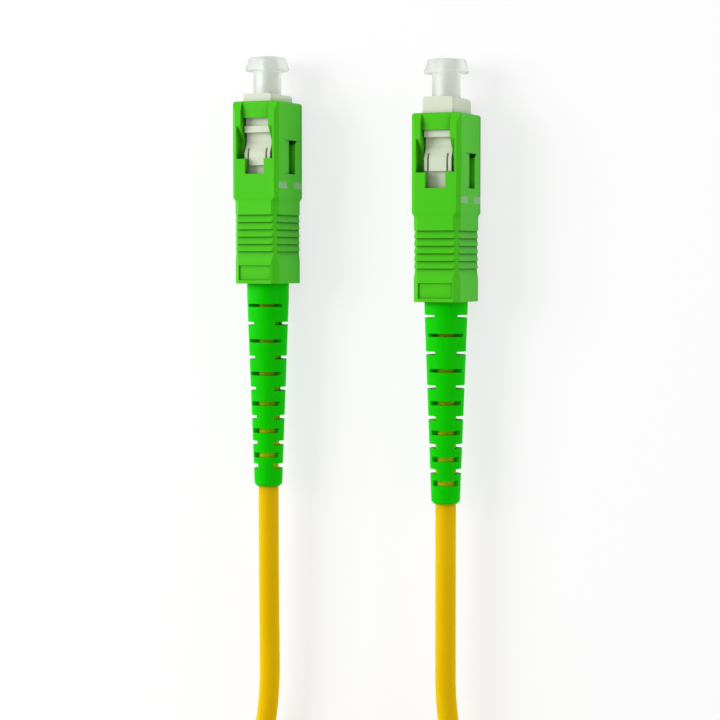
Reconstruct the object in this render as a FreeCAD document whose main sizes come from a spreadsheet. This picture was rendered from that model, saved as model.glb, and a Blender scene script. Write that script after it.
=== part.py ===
"""Simplex fibre optic patch cord with a push-pull, angle-polished plug at each end.

Each plug is drawn upright in a frame of its own: Z runs along the plug towards the
ferrule tip with zero at the front face of the plug frame, Y points to the upper
window and X points to the key. The sleeve has its own zero at its front face,
because it floats along the plug frame. The plugs then lie side by side on the floor
with their tips towards +Y, and one cord runs from boot to boot through a coil.
All sizes are millimetres.
"""

import FreeCAD
import Part
import Sketcher

import math
import os
import re

DIMENSIONS = (
    # Coupling sleeve: outer form
    ("sleeve_width", 7.4),
    ("sleeve_height", 9.0),
    ("sleeve_length", 26.4),
    ("sleeve_chamfer", 0.55),
    ("front_round", 0.4),
    ("grip_width", 7.0),
    ("grip_height", 8.9),
    ("grip_chamfer", 0.85),
    ("shoulder_start", 13.9),
    ("shoulder_length", 0.5),
    ("rib_start", 16.4),
    ("rib_pitch", 1.06),
    ("rib_count", 5),
    ("rib_depth", 0.3),
    ("rib_run_out", 1.5),
    # Coupling sleeve: latch channel, window and cam ramps
    ("channel_width", 4.4),
    ("channel_depth", 0.55),
    ("channel_length", 2.4),
    ("lead_in_length", 1.5),
    ("window_end", 8.3),
    ("notch_width", 3.0),
    ("notch_end", 10.5),
    ("cam_width", 5.74),
    ("cam_start", 3.55),
    ("cam_foot", 5.6),
    ("cam_depth", 1.24),
    # Coupling sleeve: side slots, key, marks and label recess
    ("slot_start", 5.55),
    ("slot_end", 10.47),
    ("slot_top", 0.1),
    ("slot_bottom", -1.55),
    ("slot_flare", 0.6),
    ("scoop_top", 2.9),
    ("scoop_depth", 0.22),
    ("key_width", 2.0),
    ("key_height", 0.75),
    ("key_start", 0.9),
    ("key_length", 4.1),
    ("mark_start", 11.6),
    ("mark_length", 1.0),
    ("mark_gap", 2.4),
    ("mark_width", 2.8),
    ("mark_depth", 0.08),
    ("label_start", 23.75),
    ("label_length", 2.15),
    ("label_width", 5.1),
    ("label_depth", 0.18),
    # Coupling sleeve: inside
    ("frame_gap", 0.075),
    ("nose_room", 0.2),
    ("boot_gap", 0.12),
    # Float of the sleeve along the plug frame
    ("setback_a", 1.16),
    ("setback_b", 2.29),
    ("stop_gap", 0.03),
    # Plug frame
    ("frame_width", 4.95),
    ("frame_height", 7.1),
    ("frame_length", 19.0),
    ("frame_chamfer", 0.3),
    ("frame_nose_round", 0.7),
    ("nose_length", 3.0),
    ("tongue_gap", 0.15),
    ("tongue_height", 7.0),
    ("ramp_gap", 0.1),
    ("catch_start", 4.7),
    ("catch_end", 5.65),
    ("lead_floor", 6.1),
    ("hook_floor", 5.5),
    ("hook_floor_end", 6.9),
    ("ramp_end", 8.6),
    ("block_end", 10.4),
    ("rear_height", 5.9),
    ("groove_offset", 1.3),
    ("groove_width", 0.3),
    ("groove_depth", 0.55),
    ("groove_start", 7.9),
    ("lug_height", 0.28),
    ("lug_margin", 0.2),
    ("frame_bore", 4.3),
    ("nose_bore_depth", 2.2),
    ("lip_thickness", 0.8),
    ("lip_gap", 0.3),
    # Ferrule, collar and spring
    ("ferrule_diameter", 2.5),
    ("ferrule_length", 10.5),
    ("ferrule_reach", 4.9),
    ("tip_angle", 8.0),
    ("tip_chamfer", 0.35),
    ("push_back", 1.0),
    ("slide_gap", 0.09),
    ("seat_gap", 0.03),
    ("collar_thickness", 2.8),
    ("collar_notch_width", 0.9),
    ("collar_notch_depth", 0.5),
    ("tail_diameter", 1.9),
    ("tail_lap", 0.23),
    ("tail_bore", 1.1),
    ("spring_wire", 0.45),
    ("spring_diameter", 3.95),
    ("spring_turns", 5),
    # Stop ring, yarn and crimp ring
    ("post_nose_length", 5.0),
    ("post_bore", 2.2),
    ("post_collar_thickness", 1.0),
    ("barrel_diameter", 3.1),
    ("barrel_length", 5.0),
    ("barrel_groove_pitch", 1.6),
    ("barrel_groove_count", 2),
    ("barrel_groove_depth", 0.15),
    ("yarn_thickness", 0.2),
    ("crimp_wall", 0.25),
    ("crimp_step", 0.4),
    ("crimp_tail_length", 3.0),
    ("fibre_diameter", 0.9),
    # Boot
    ("boot_front_gap", 1.47),
    ("boot_length", 35.9),
    ("boot_neck_diameter", 5.2),
    ("shoulder_reach", 0.8),
    ("boot_shoulder_diameter", 6.15),
    ("boot_shoulder_length", 2.3),
    ("boot_end_diameter", 4.1),
    ("boot_end_round", 0.35),
    ("boot_fit", 0.07),
    ("boot_cone", 0.4),
    ("bend_slot_count", 12),
    ("bend_slot_first", 3.0),
    ("bend_slot_pitch", 1.6),
    ("bend_slot_growth", 0.05),
    ("bend_slot_height", 0.76),
    ("bend_slot_narrowing", 0.032),
    ("bend_slot_angle", 114.0),
    # Dust cap
    ("cap_stem_diameter", 4.1),
    ("cap_insert", 1.0),
    ("cap_grip_gap", 0.04),
    ("cap_roof", 0.5),
    ("cap_tip_gap", 0.1),
    ("cap_head_length", 2.1),
    ("cap_head_diameter", 6.4),
    ("cap_crown_diameter", 5.35),
    ("cap_rim", 0.25),
    ("cap_dome", 0.18),
    ("cap_mouth", 0.2),
    # Layout and cord
    ("plug_spacing", 27.95),
    ("plug_stagger", 1.3),
    ("jacket_diameter", 3.0),
    ("boot_exit_run", 5.0),
    ("coil_outer_radius", 23.0),
    ("coil_turn_pitch", 3.05),
    ("coil_layer_height", 3.05),
    ("coil_centre_y", -92.0),
)

DOC = FreeCAD.newDocument("fibre_patch_cord")
SHEET = DOC.addObject("Spreadsheet::Sheet", "sizes")
ALIASES = {name for name, _ in DIMENSIONS}

# Plug frame: local X to -X, local Y up, local Z (towards the tip) to +Y
LYING = FreeCAD.Rotation(FreeCAD.Matrix(-1, 0, 0, 0, 0, 0, 1, 0, 0, 1, 0, 0, 0, 0, 0, 1))

# Side of the layout that each plug lies on
SIDES = {"a": -1, "b": 1}

# Pieces that sit back from the front face of the plug frame, or turned about the plug
SETBACKS = {"coupling_sleeve_a": "setback_a", "coupling_sleeve_b": "setback_b"}
TURNS = {"boot_a": 103.0, "boot_b": 20.0}

# Stations along the plug, measured back from the front face of the plug frame
COLLAR_FRONT = "(nose_bore_depth + lip_thickness + seat_gap)"
COLLAR_REAR = "(nose_bore_depth + lip_thickness + seat_gap + collar_thickness)"
POST_FRONT = "(frame_length - post_nose_length)"
BARREL_FRONT = "(frame_length + seat_gap + post_collar_thickness)"
BARREL_REAR = "(frame_length + seat_gap + post_collar_thickness + barrel_length)"
CRIMP_STEP = "(frame_length + 2 * seat_gap + post_collar_thickness + barrel_length)"
CRIMP_REAR = "(frame_length + 2 * seat_gap + post_collar_thickness + barrel_length" \
             " + crimp_step + crimp_tail_length)"
JACKET_FRONT = "(frame_length + 3 * seat_gap + post_collar_thickness + barrel_length + crimp_step)"
BOOT_START = "(frame_length + seat_gap + post_collar_thickness + boot_front_gap)"
BOOT_END = "(frame_length + seat_gap + post_collar_thickness + boot_front_gap + boot_length)"
SHOULDER = "(sleeve_length + shoulder_reach)"
WAIST_END = "(notch_end + setback_b + nose_room)"
CAP_TOP = "(ferrule_reach + cap_tip_gap + cap_roof)"

YARN_OUTER = "(barrel_diameter + 2 * seat_gap + 2 * yarn_thickness)"
CRIMP_BORE = "(barrel_diameter + 4 * seat_gap + 2 * yarn_thickness)"
CRIMP_OUTER = "(barrel_diameter + 4 * seat_gap + 2 * yarn_thickness + 2 * crimp_wall)"


def fill_sheet():
    """Write each size to the sheet with its name beside it."""
    for row, (name, number) in enumerate(DIMENSIONS, start=1):
        SHEET.set(f"A{row}", name)
        SHEET.set(f"B{row}", str(number))
        SHEET.setAlias(f"B{row}", name)
    DOC.recompute()


def bound(text):
    """Return an expression with each size name tied to its cell."""
    def tie(match):
        word = match.group(0)
        return f"sizes.{word}" if word in ALIASES else word
    return re.sub(r"[a-z][a-z_]+", tie, str(text))


def value(text):
    """Return the number that an expression stands for now."""
    result = SHEET.evalExpression(bound(text))
    return float(getattr(result, "Value", result))


def new_body(name):
    """Return an empty body whose label names its file."""
    body = DOC.addObject("PartDesign::Body", name)
    body.Label = name
    return body


def origin_feature(body, role):
    """Return the plane or axis of a body's own origin by its role."""
    return next(item for item in body.Origin.OriginFeatures if item.Role == role)


def new_sketch(body, name, plane="XY_Plane", offset="0"):
    """Return a sketch on an origin plane, moved along that plane's normal."""
    sketch = body.newObject("Sketcher::SketchObject", f"{body.Label}_{name}")
    sketch.AttachmentSupport = [(origin_feature(body, plane), "")]
    sketch.MapMode = "FlatFace"
    if offset != "0":
        sketch.setExpression("AttachmentOffset.Base.z", bound(offset))
    return sketch


def constrain(sketch, kind, geometry, point, text):
    """Tie one coordinate of a sketch point to an expression."""
    if text == "0":
        axis = -2 if kind == "DistanceX" else -1
        sketch.addConstraint(Sketcher.Constraint("PointOnObject", geometry, point, axis))
        return
    index = sketch.addConstraint(
        Sketcher.Constraint(kind, -1, 1, geometry, point, value(text)))
    sketch.setExpression(f"Constraints[{index}]", bound(text))


def polygon(sketch, corners):
    """Draw a closed outline whose corners are pairs of expressions."""
    points = [FreeCAD.Vector(value(x), value(y), 0) for x, y in corners]
    count = len(points)
    first = sketch.GeometryCount
    for index in range(count):
        sketch.addGeometry(Part.LineSegment(points[index], points[(index + 1) % count]))
    for index in range(count):
        following = first + (index + 1) % count
        sketch.addConstraint(
            Sketcher.Constraint("Coincident", first + index, 2, following, 1))
    for index, (x, y) in enumerate(corners):
        constrain(sketch, "DistanceX", first + index, 1, x)
        constrain(sketch, "DistanceY", first + index, 1, y)
    return sketch


def rectangle(sketch, left, right, low, high):
    """Draw a rectangle between four coordinates."""
    return polygon(sketch, ((left, low), (right, low), (right, high), (left, high)))


def circle(sketch, diameter, x="0"):
    """Draw a circle on the horizontal axis of a sketch."""
    centre = FreeCAD.Vector(value(x), 0, 0)
    index = sketch.addGeometry(
        Part.Circle(centre, FreeCAD.Vector(0, 0, 1), value(diameter) / 2))
    constrain(sketch, "DistanceX", index, 3, x)
    constrain(sketch, "DistanceY", index, 3, "0")
    size = sketch.addConstraint(Sketcher.Constraint("Diameter", index, value(diameter)))
    sketch.setExpression(f"Constraints[{size}]", bound(diameter))
    return sketch


def cut_corner_outline(sketch, width, height, chamfer):
    """Draw a centred rectangle with its four corners cut at 45 degrees."""
    wide, high = f"({width}) / 2", f"({height}) / 2"
    near_x = f"({width}) / 2 - ({chamfer})"
    near_y = f"({height}) / 2 - ({chamfer})"
    quarter = ((near_x, high), (wide, near_y))
    corners = []
    for sign_x, sign_y in ((1, 1), (1, -1), (-1, -1), (-1, 1)):
        pair = [(f"{sign_x} * ({x})", f"{sign_y} * ({y})") for x, y in quarter]
        corners += pair if sign_x == sign_y else pair[::-1]
    return polygon(sketch, corners)


def extrude(body, kind, sketch, name, length, both_ways=False, towards_tip=False):
    """Pad or pocket a sketch; plugs are built from front to back."""
    feature = body.newObject(f"PartDesign::{kind}", f"{body.Label}_{name}")
    feature.Profile = sketch
    feature.Type = "Length"
    feature.setExpression("Length", bound(length))
    if both_ways:
        feature.SideType = "Symmetric"
    elif kind == "Pad":
        feature.Reversed = not towards_tip
    else:
        feature.Reversed = towards_tip
    body.Tip = feature
    return feature


def spin(body, kind, sketch, name, angle=360.0):
    """Revolve or groove a sketch about the plug's axis."""
    feature = body.newObject(f"PartDesign::{kind}", f"{body.Label}_{name}")
    feature.Profile = sketch
    feature.ReferenceAxis = (sketch, ["V_Axis"])
    if isinstance(angle, str):
        feature.setExpression("Angle", bound(angle))
        feature.Midplane = True
    else:
        feature.Angle = angle
    body.Tip = feature
    return feature


def loft(body, name, near, far):
    """Join two outlines with straight sides."""
    feature = body.newObject("PartDesign::AdditiveLoft", f"{body.Label}_{name}")
    feature.Profile = near
    feature.Sections = [far]
    feature.Ruled = True
    body.Tip = feature
    return feature


def repeat_along(body, feature, name, pitch, count):
    """Repeat a feature backwards along the plug."""
    pattern = body.newObject("PartDesign::LinearPattern", f"{body.Label}_{name}")
    pattern.Originals = [feature]
    pattern.Direction = (origin_feature(body, "Z_Axis"), [""])
    pattern.Reversed = True
    pattern.Mode = "Spacing"
    pattern.setExpression("Offset", bound(pitch))
    pattern.setExpression("Occurrences", bound(count))
    body.Tip = pattern
    return pattern


def repeat_round(body, features, name, count, angle=360.0):
    """Repeat features about the plug's axis."""
    pattern = body.newObject("PartDesign::PolarPattern", f"{body.Label}_{name}")
    pattern.Originals = features
    pattern.Axis = (origin_feature(body, "Z_Axis"), [""])
    pattern.Angle = angle
    pattern.Occurrences = count
    body.Tip = pattern
    return pattern


def edges_where(feature, test):
    """Return the names of a feature's edges whose middle passes a test."""
    DOC.recompute()
    names = []
    for index, edge in enumerate(feature.Shape.Edges, start=1):
        if test(edge.CenterOfMass):
            names.append(f"Edge{index}")
    return names


def break_edges(body, kind, feature, name, edges, amount):
    """Fillet or chamfer some edges of a feature."""
    broken = body.newObject(f"PartDesign::{kind}", f"{body.Label}_{name}")
    broken.Base = (feature, edges)
    broken.setExpression("Radius" if kind == "Fillet" else "Size", bound(amount))
    body.Tip = broken
    return broken


def place(body, side):
    """Lay a piece in its plug's place, set back or turned where the tables say so."""
    turn = FreeCAD.Rotation(FreeCAD.Vector(0, 0, 1), TURNS.get(body.Label, 0.0))
    body.Placement = FreeCAD.Placement(FreeCAD.Vector(0, 0, 0), LYING * turn)
    setback = SETBACKS.get(body.Label, "0")
    body.setExpression("Placement.Base.x", bound(plug_x(side)))
    body.setExpression("Placement.Base.y", bound(f"{plug_y(side)} - {setback}"))
    body.setExpression("Placement.Base.z", bound("sleeve_height / 2"))


def plug_x(side):
    """Return where a plug's axis lies across the floor."""
    return f"(key_height + {side} * plug_spacing) / 2"


def plug_y(side):
    """Return where the front face of a plug's frame lies."""
    return f"({BOOT_END} - {CAP_TOP} - {side} * plug_stagger) / 2"


def build_sleeve(body):
    """The sliding outer housing, moulded in one piece."""
    low_width = "grip_width - 2 * rib_depth"
    low_height = "grip_height - 2 * rib_depth"
    low_chamfer = "grip_chamfer - 2 * rib_depth"

    front = new_sketch(body, "front_outline")
    cut_corner_outline(front, "sleeve_width", "sleeve_height", "sleeve_chamfer")
    front_pad = extrude(body, "Pad", front, "front", "shoulder_start")

    # The front edge is rounded on the wide faces and on the chamfers beside them
    narrow_face = value("sleeve_height / 2")
    edges = edges_where(front_pad, lambda middle: abs(middle.z) < 1e-4
                        and abs(middle.y) < narrow_face - 1e-4)
    break_edges(body, "Fillet", front_pad, "front_round", edges, "front_round")

    # Sloping shoulder where the front narrows to the grip
    near = new_sketch(body, "shoulder_front", offset="-shoulder_start")
    cut_corner_outline(near, "sleeve_width", "sleeve_height", "sleeve_chamfer")
    far = new_sketch(body, "shoulder_rear", offset="-(shoulder_start + shoulder_length)")
    cut_corner_outline(far, "grip_width", "grip_height", "grip_chamfer")
    loft(body, "shoulder", near, far)
    neck = new_sketch(body, "neck_outline", offset="-(shoulder_start + shoulder_length)")
    cut_corner_outline(neck, "grip_width", "grip_height", "grip_chamfer")
    extrude(body, "Pad", neck, "neck", "rib_start - shoulder_start - shoulder_length")

    # Saw-tooth grip: a lower core, one tooth that rises backwards, then its copies
    rib_zone = "rib_count * rib_pitch"
    core = new_sketch(body, "core_outline", offset="-rib_start")
    cut_corner_outline(core, low_width, low_height, low_chamfer)
    extrude(body, "Pad", core, "core", rib_zone)
    near = new_sketch(body, "tooth_front", offset="-rib_start")
    cut_corner_outline(near, low_width, low_height, low_chamfer)
    far = new_sketch(body, "tooth_rear", offset="-(rib_start + rib_pitch)")
    cut_corner_outline(far, "grip_width", "grip_height", "grip_chamfer")
    tooth = loft(body, "tooth", near, far)
    repeat_along(body, tooth, "teeth", "rib_pitch", "rib_count")

    # Rear block, which starts low and rises like one longer tooth
    near = new_sketch(body, "rear_rise_front", offset=f"-(rib_start + {rib_zone})")
    cut_corner_outline(near, low_width, low_height, low_chamfer)
    far = new_sketch(body, "rear_rise_rear",
                     offset=f"-(rib_start + {rib_zone} + rib_run_out)")
    cut_corner_outline(far, "grip_width", "grip_height", "grip_chamfer")
    loft(body, "rear_rise", near, far)
    rear = new_sketch(body, "rear_outline",
                      offset=f"-(rib_start + {rib_zone} + rib_run_out)")
    cut_corner_outline(rear, "grip_width", "grip_height", "grip_chamfer")
    extrude(body, "Pad", rear, "rear",
            f"sleeve_length - rib_start - {rib_zone} - rib_run_out")

    # Key on one wide face, with its front edge broken
    key = new_sketch(body, "key_outline", plane="XZ_Plane")
    polygon(key, (
        ("sleeve_width / 2 - channel_depth", "-key_start"),
        ("sleeve_width / 2 + key_height / 2", "-key_start"),
        ("sleeve_width / 2 + key_height", "-(key_start + key_height)"),
        ("sleeve_width / 2 + key_height", "-(key_start + key_length)"),
        ("sleeve_width / 2 - channel_depth", "-(key_start + key_length)"),
    ))
    extrude(body, "Pad", key, "key", "key_width", both_ways=True)

    # Cavity: full section for the nose, a cross past the cam ramps, then the boot's well
    bore = new_sketch(body, "nose_cavity")
    rectangle(bore, "-(frame_width / 2 + frame_gap)", "frame_width / 2 + frame_gap",
              "-(frame_height / 2 + frame_gap)", "frame_height / 2 + frame_gap")
    extrude(body, "Pocket", bore, "nose_room", "nose_length + nose_room - setback_a")
    cross = new_sketch(body, "tongue_cavity")
    rectangle(cross, "-channel_width / 2", "channel_width / 2",
              "-(tongue_height / 2 + frame_gap)", "tongue_height / 2 + frame_gap")
    extrude(body, "Pocket", cross, "tongue_room", "notch_end")
    core = new_sketch(body, "shoulder_cavity")
    rectangle(core, "-(frame_width / 2 + frame_gap)", "frame_width / 2 + frame_gap",
              "-(sleeve_height / 2 - cam_depth - 2 * frame_gap - channel_depth)",
              "sleeve_height / 2 - cam_depth - 2 * frame_gap - channel_depth")
    extrude(body, "Pocket", core, "shoulder_room", "notch_end")
    tail = new_sketch(body, "tail_cavity", offset="-notch_end")
    rectangle(tail, "-(frame_width / 2 + frame_gap)", "frame_width / 2 + frame_gap",
              "-(rear_height / 2 + frame_gap)", "rear_height / 2 + frame_gap")
    tail_end = "(frame_length - setback_a + nose_room)"
    extrude(body, "Pocket", tail, "tail_room", f"{tail_end} - notch_end")
    well = new_sketch(body, "neck_cavity", offset=f"-{tail_end}")
    circle(well, "boot_neck_diameter + 2 * boot_gap")
    extrude(body, "Pocket", well, "neck_room", f"sleeve_length - {tail_end}")
    mouth = new_sketch(body, "shoulder_mouth", offset="-sleeve_length")
    circle(mouth, "boot_shoulder_diameter + 2 * boot_gap")
    extrude(body, "Pocket", mouth, "mouth_room", "setback_b + nose_room - shoulder_reach",
            towards_tip=True)

    # Latch channel from the front edge, on both narrow faces
    lift = "sleeve_height / 2 + sleeve_chamfer"
    channel = new_sketch(body, "channel_profile", plane="YZ_Plane")
    lead_in = new_sketch(body, "lead_in_profile", plane="YZ_Plane")
    cams = new_sketch(body, "cam_profile", plane="YZ_Plane")
    label = new_sketch(body, "label_profile", plane="YZ_Plane")
    for sign in (1, -1):
        face = f"{sign} * sleeve_height / 2"
        outside = f"{sign} * ({lift})"
        rectangle(channel, f"{face} - {sign} * channel_depth", outside,
                  "-channel_length", "0")
        polygon(lead_in, (
            (face, "-lead_in_length"),
            (f"{face} - {sign} * channel_depth", "0"),
            (outside, "0"),
            (outside, "-lead_in_length"),
        ))
        polygon(cams, (
            (face, "-cam_start"),
            (outside, "-cam_start"),
            (outside, "-window_end"),
            (f"{face} - {sign} * cam_depth", "-window_end"),
            (f"{face} - {sign} * cam_depth", "-cam_foot"),
        ))
        rectangle(label, f"{sign} * (grip_height / 2 - label_depth)", outside,
                  "-(label_start + label_length)", "-label_start")
    extrude(body, "Pocket", channel, "channel", "channel_width", both_ways=True)
    extrude(body, "Pocket", lead_in, "lead_in", "sleeve_width + 2 * key_height",
            both_ways=True)
    extrude(body, "Pocket", cams, "cam_ramps", "cam_width", both_ways=True)
    extrude(body, "Pocket", label, "label_recess", "label_width", both_ways=True)

    # Window that narrows to the notch, through both narrow faces
    window = new_sketch(body, "window_outline", plane="XZ_Plane")
    polygon(window, (
        ("-channel_width / 2", "-channel_length"),
        ("channel_width / 2", "-channel_length"),
        ("channel_width / 2", "-window_end"),
        ("notch_width / 2", "-window_end"),
        ("notch_width / 2", "-notch_end"),
        ("-notch_width / 2", "-notch_end"),
        ("-notch_width / 2", "-window_end"),
        ("-channel_width / 2", "-window_end"),
    ))
    extrude(body, "Pocket", window, "window", "2 * sleeve_height", both_ways=True)

    # Side slots through both wide faces, each with a shallow scoop above it
    slot = new_sketch(body, "slot_outline", plane="YZ_Plane")
    polygon(slot, (
        ("slot_top", "-slot_start"),
        ("slot_bottom - slot_flare", "-slot_start"),
        ("slot_bottom", "-(slot_start + slot_flare)"),
        ("slot_bottom", "-slot_end"),
        ("slot_top", "-slot_end"),
    ))
    extrude(body, "Pocket", slot, "side_slots", "2 * sleeve_width", both_ways=True)
    scoop = new_sketch(body, "scoop_profile", offset="-slot_start")
    for sign in (1, -1):
        polygon(scoop, (
            (f"{sign} * sleeve_width / 2", "scoop_top"),
            (f"{sign} * (sleeve_width / 2 + scoop_depth)", "scoop_top"),
            (f"{sign} * (sleeve_width / 2 + scoop_depth)", "slot_top"),
            (f"{sign} * (sleeve_width / 2 - scoop_depth)", "slot_top"),
        ))
    extrude(body, "Pocket", scoop, "scoops", "slot_end - slot_start")

    # Two shallow mark recesses on the wide face that has no key
    marks = new_sketch(body, "mark_outline", plane="YZ_Plane",
                       offset="-(sleeve_width / 2 - mark_depth)")
    for sign in (1, -1):
        rectangle(marks, f"{sign} * mark_gap / 2", f"{sign} * (mark_gap / 2 + mark_width)",
                  "-(mark_start + mark_length)", "-mark_start")
    extrude(body, "Pocket", marks, "marks", "2 * mark_depth")


def build_plug_frame(body):
    """The inner body that the adapter's hooks hold, with its latch relief."""
    nose = new_sketch(body, "nose_outline")
    cut_corner_outline(nose, "frame_width", "frame_height", "frame_chamfer")
    nose_pad = extrude(body, "Pad", nose, "nose", "nose_length")

    # The front edge is rounded on the side away from the key
    plain_side = -value("frame_width / 2")
    edges = edges_where(nose_pad, lambda middle: abs(middle.z) < 1e-4
                        and abs(middle.x - plain_side) < 1e-4)
    break_edges(body, "Fillet", nose_pad, "nose_round", edges, "frame_nose_round")

    # Waist beside the cam ramps
    waist = new_sketch(body, "waist_outline", offset="-nose_length")
    ramp_floor = "sleeve_height / 2 - cam_depth - channel_depth - 2 * frame_gap - ramp_gap"
    rectangle(waist, "-frame_width / 2", "frame_width / 2", f"-({ramp_floor})", ramp_floor)
    extrude(body, "Pad", waist, "waist", f"{WAIST_END} - nose_length")

    # Catch bar, hook recess, ramp and block, the same on both narrow faces
    relief = new_sketch(body, "relief_profile", plane="YZ_Plane")
    upper = (
        ("lead_floor / 2", "-nose_length"),
        ("lead_floor / 2", "-catch_start"),
        ("tongue_height / 2", "-catch_start"),
        ("tongue_height / 2", "-catch_end"),
        ("hook_floor / 2", "-catch_end"),
        ("hook_floor / 2", "-hook_floor_end"),
        ("tongue_height / 2", "-ramp_end"),
        ("tongue_height / 2", "-block_end"),
        ("rear_height / 2", "-block_end"),
        ("rear_height / 2", f"-{WAIST_END}"),
    )
    lower = tuple((f"-({y})", z) for y, z in reversed(upper))
    polygon(relief, upper + lower)
    extrude(body, "Pad", relief, "relief", "channel_width - 2 * tongue_gap", both_ways=True)

    # Two narrow grooves part each block from its side fins
    grooves = new_sketch(body, "groove_outline", offset="-groove_start")
    for sign_x in (1, -1):
        for sign_y in (1, -1):
            rectangle(grooves, f"{sign_x} * groove_offset",
                      f"{sign_x} * (groove_offset + groove_width)",
                      f"{sign_y} * (tongue_height / 2 - groove_depth)",
                      f"{sign_y} * tongue_height / 2")
    extrude(body, "Pocket", grooves, "grooves", "block_end - groove_start")

    rear = new_sketch(body, "rear_outline", offset=f"-{WAIST_END}")
    rectangle(rear, "-frame_width / 2", "frame_width / 2",
              "-rear_height / 2", "rear_height / 2")
    extrude(body, "Pad", rear, "rear", f"frame_length - {WAIST_END}")

    # Lugs that run in the side slots and stop the sleeve at both ends of its float
    lug = new_sketch(body, "lug_outline", plane="YZ_Plane")
    rectangle(lug, "slot_bottom + lug_margin", "slot_top - lug_margin",
              "-(slot_end + setback_a - stop_gap)", "-(slot_start + setback_b + stop_gap)")
    extrude(body, "Pad", lug, "lugs", "frame_width + 2 * lug_height", both_ways=True)

    # Front bore, ferrule lip and the long chamber behind it
    front_bore = new_sketch(body, "front_bore_outline")
    circle(front_bore, "frame_bore")
    extrude(body, "Pocket", front_bore, "front_bore", "nose_bore_depth")
    lip = new_sketch(body, "lip_outline")
    circle(lip, "ferrule_diameter + 2 * lip_gap")
    extrude(body, "Pocket", lip, "lip_bore", "nose_bore_depth + lip_thickness")
    chamber = new_sketch(body, "chamber_outline",
                         offset="-(nose_bore_depth + lip_thickness)")
    circle(chamber, "frame_bore")
    extrude(body, "Pocket", chamber, "chamber",
            "frame_length - nose_bore_depth - lip_thickness")


def build_ferrule(body):
    """The ferrule, with a chamfered and angle-ground tip."""
    profile = new_sketch(body, "profile", plane="XZ_Plane")
    polygon(profile, (
        ("0", "ferrule_reach - ferrule_length"),
        ("ferrule_diameter / 2", "ferrule_reach - ferrule_length"),
        ("ferrule_diameter / 2", "ferrule_reach - 2 * tip_chamfer"),
        ("ferrule_diameter / 2 - tip_chamfer", "ferrule_reach"),
        ("0", "ferrule_reach"),
    ))
    spin(body, "Revolution", profile, "turned")
    tip = new_sketch(body, "tip_profile", plane="XZ_Plane")
    reach = "ferrule_diameter / 2"
    polygon(tip, (
        (f"-{reach}", "ferrule_reach"),
        (reach, "ferrule_reach - ferrule_diameter * tan(tip_angle)"),
        (reach, "ferrule_reach + tip_chamfer"),
        (f"-{reach}", "ferrule_reach + tip_chamfer"),
    ))
    extrude(body, "Pocket", tip, "angled_tip", "2 * ferrule_diameter", both_ways=True)


def build_collar(body):
    """The notched collar that holds the ferrule, and the tail behind it."""
    seat = "ferrule_length - ferrule_reach + seat_gap"
    profile = new_sketch(body, "profile", plane="XZ_Plane")
    polygon(profile, (
        ("ferrule_diameter / 2 + seat_gap", f"-{COLLAR_FRONT}"),
        ("frame_bore / 2 - slide_gap", f"-{COLLAR_FRONT}"),
        ("frame_bore / 2 - slide_gap", f"-{COLLAR_REAR}"),
        ("tail_diameter / 2", f"-{COLLAR_REAR}"),
        ("tail_diameter / 2", f"-({POST_FRONT} + tail_lap)"),
        ("tail_bore / 2", f"-({POST_FRONT} + tail_lap)"),
        ("tail_bore / 2", f"-({seat})"),
        ("ferrule_diameter / 2 + seat_gap", f"-({seat})"),
    ))
    spin(body, "Revolution", profile, "turned")
    notch = new_sketch(body, "notch_outline", offset=f"-{COLLAR_FRONT}")
    rectangle(notch, "frame_bore / 2 - slide_gap - collar_notch_depth", "frame_bore / 2",
              "-collar_notch_width / 2", "collar_notch_width / 2")
    first = extrude(body, "Pocket", notch, "notch", "collar_thickness")
    repeat_round(body, [first], "notches", 4)


def build_spring(body):
    """The compression spring between the collar and the stop ring."""
    wire = new_sketch(body, "wire_section", plane="XZ_Plane")
    centre = "(spring_diameter / 2 - spring_wire / 2)"
    start = f"({COLLAR_REAR} + spring_wire / 2 + seat_gap)"
    polygon(wire, (
        (f"{centre} + spring_wire / 2", f"-{start}"),
        (centre, f"spring_wire / 2 - {start}"),
        (f"{centre} - spring_wire / 2", f"-{start}"),
        (centre, f"-spring_wire / 2 - {start}"),
    ))
    helix = body.newObject("PartDesign::AdditiveHelix", f"{body.Label}_coil")
    helix.Profile = wire
    helix.ReferenceAxis = (wire, ["V_Axis"])
    helix.Mode = "height-turns-angle"
    helix.setExpression(
        "Height", bound(f"{POST_FRONT} - {COLLAR_REAR} - spring_wire - 2 * seat_gap"))
    helix.setExpression("Turns", bound("spring_turns"))
    helix.Reversed = True
    body.Tip = helix


def build_stop_ring(body):
    """The back post: nose in the plug frame, collar behind it, grooved barrel."""
    profile = new_sketch(body, "profile", plane="XZ_Plane")
    polygon(profile, (
        ("post_bore / 2", f"-{POST_FRONT}"),
        ("frame_bore / 2 - seat_gap", f"-{POST_FRONT}"),
        ("frame_bore / 2 - seat_gap", "-(frame_length + seat_gap)"),
        ("frame_width / 2", "-(frame_length + seat_gap)"),
        ("frame_width / 2", f"-{BARREL_FRONT}"),
        ("barrel_diameter / 2", f"-{BARREL_FRONT}"),
        ("barrel_diameter / 2", f"-{BARREL_REAR}"),
        ("post_bore / 2", f"-{BARREL_REAR}"),
    ))
    spin(body, "Revolution", profile, "turned")
    groove = new_sketch(body, "groove_profile", plane="XZ_Plane")
    polygon(groove, (
        ("barrel_diameter / 2 - barrel_groove_depth",
         f"-({BARREL_FRONT} + barrel_groove_pitch)"),
        ("barrel_diameter / 2", f"-({BARREL_FRONT} + barrel_groove_pitch / 2)"),
        ("barrel_diameter / 2", f"-({BARREL_FRONT} + barrel_groove_pitch)"),
    ))
    first = spin(body, "Groove", groove, "groove")
    repeat_along(body, first, "grooves", "barrel_groove_pitch", "barrel_groove_count")


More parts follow.
